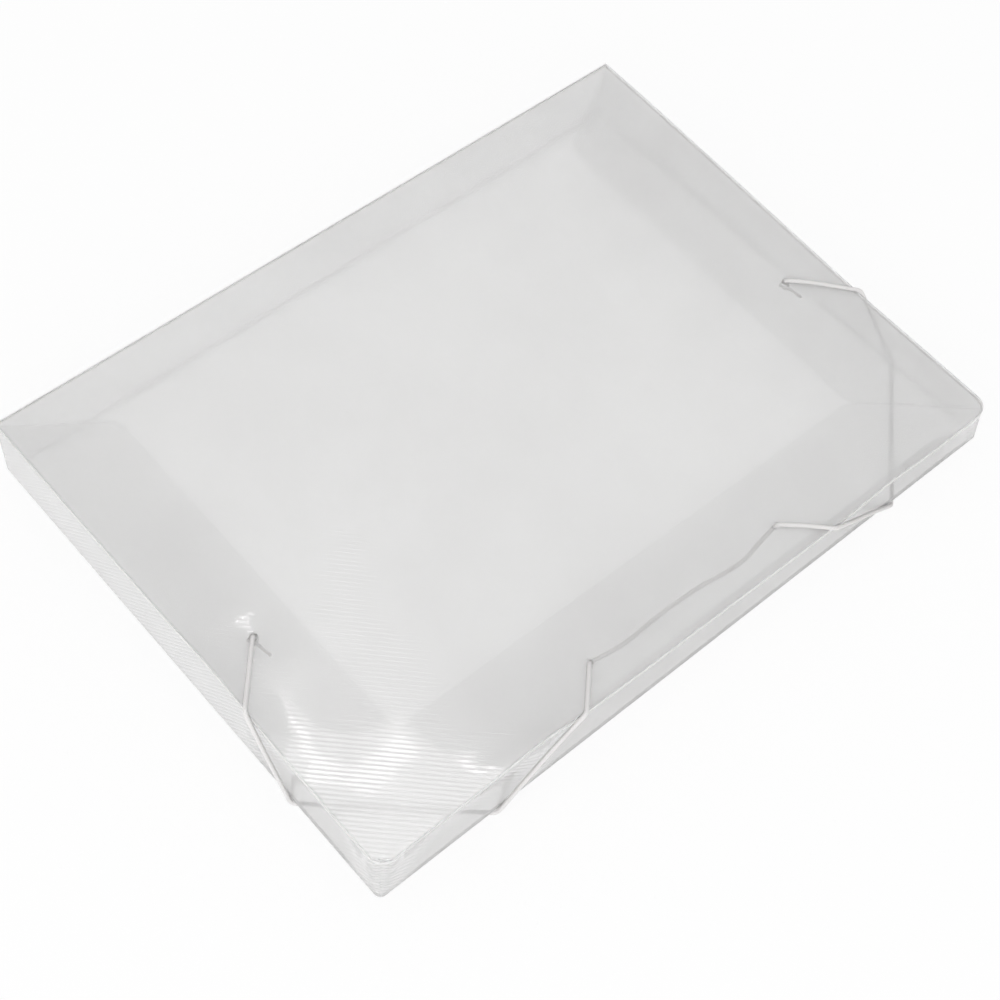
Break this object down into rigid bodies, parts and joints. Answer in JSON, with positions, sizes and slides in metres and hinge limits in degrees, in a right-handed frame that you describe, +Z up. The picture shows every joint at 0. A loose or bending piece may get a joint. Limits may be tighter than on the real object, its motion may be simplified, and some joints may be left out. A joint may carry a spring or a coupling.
{
  "type": "elastic file box",
  "caption": "Flat folding file box of ribbed see-through plastic sheet, with inner flaps, held shut by a round elastic that loops round both front corners.",
  "frame": {"origin": "middle of the floor under the closed box, its elastic included", "axes": "+X along the spine, +Y to the spine, +Z up out of the cover"},
  "size_m": [0.3392, 0.2472, 0.0351],
  "materials": {
    "sheet": "frosted, with fine ribs on the diagonal",
    "crease": "pressed smooth, slightly whitened",
    "elastic": "round elastic cord with a fine knitted cover"
  },
  "bodies": {
    "tray": {"bottom_panel": "sheet", "spine_bottom_crease": "crease", "left_bottom_crease": "crease", "right_bottom_crease": "crease", "front_bottom_crease": "crease"},
    "spine": {"spine_panel": "sheet", "spine_top_crease": "crease"},
    "cover": {"cover_panel": "sheet", "left_elastic_loop": "elastic", "right_elastic_loop": "elastic", "elastic_inner_run": "elastic", "left_end_knot": "elastic", "right_end_knot": "elastic"},
    "left_wall": {"left_wall": "sheet", "left_top_crease": "crease"},
    "right_wall": {"right_wall": "sheet", "right_top_crease": "crease"},
    "front_wall": {"front_wall": "sheet", "front_top_crease": "crease"},
    "left_flap": {"left_flap": "sheet"},
    "right_flap": {"right_flap": "sheet"},
    "front_flap": {"front_flap": "sheet"}
  },
  "joints": [
    {"name": "spine_fold", "type": "hinge", "parent": "tray", "child": "spine", "pos_m": [0, 0.12327, 0.00245], "axis": [-1, 0, 0], "range_deg": [0, 90], "deforming": ["left_elastic_loop", "right_elastic_loop"]},
    {"name": "cover_fold", "type": "hinge", "parent": "spine", "child": "cover", "pos_m": [0, 0.12327, 0.03485], "axis": [-1, 0, 0], "range_deg": [0, 90]},
    {"name": "left_wall_fold", "type": "hinge", "parent": "tray", "child": "left_wall", "pos_m": [-0.1672, 0, 0.00245], "axis": [0, -1, 0], "range_deg": [0, 90]},
    {"name": "left_flap_fold", "type": "hinge", "parent": "left_wall", "child": "left_flap", "pos_m": [-0.1672, 0, 0.03208], "axis": [0, -0.9999, -0.0151], "range_deg": [0, 102]},
    {"name": "right_wall_fold", "type": "hinge", "parent": "tray", "child": "right_wall", "pos_m": [0.1672, 0, 0.00245], "axis": [0, 1, 0], "range_deg": [0, 90]},
    {"name": "right_flap_fold", "type": "hinge", "parent": "right_wall", "child": "right_flap", "pos_m": [0.1672, 0, 0.02791], "axis": [0, 0.9988, 0.049], "range_deg": [0, 102]},
    {"name": "front_wall_fold", "type": "hinge", "parent": "tray", "child": "front_wall", "pos_m": [0, -0.12112, 0.00245], "axis": [1, 0, 0], "range_deg": [0, 90]},
    {"name": "front_flap_fold", "type": "hinge", "parent": "front_wall", "child": "front_flap", "pos_m": [0, -0.12112, 0.02611], "axis": [0.9997, 0, -0.0247], "range_deg": [0, 102]}
  ],
  "couplings": [
    {"joint": "cover_fold", "follows": "spine_fold", "ratio": 1},
    {"joint": "left_wall_fold", "follows": "spine_fold", "ratio": 1},
    {"joint": "left_flap_fold", "follows": "spine_fold", "ratio": 1.1333},
    {"joint": "right_wall_fold", "follows": "spine_fold", "ratio": 1},
    {"joint": "right_flap_fold", "follows": "spine_fold", "ratio": 1.1333},
    {"joint": "front_wall_fold", "follows": "spine_fold", "ratio": 1},
    {"joint": "front_flap_fold", "follows": "spine_fold", "ratio": 1.1333}
  ]
}
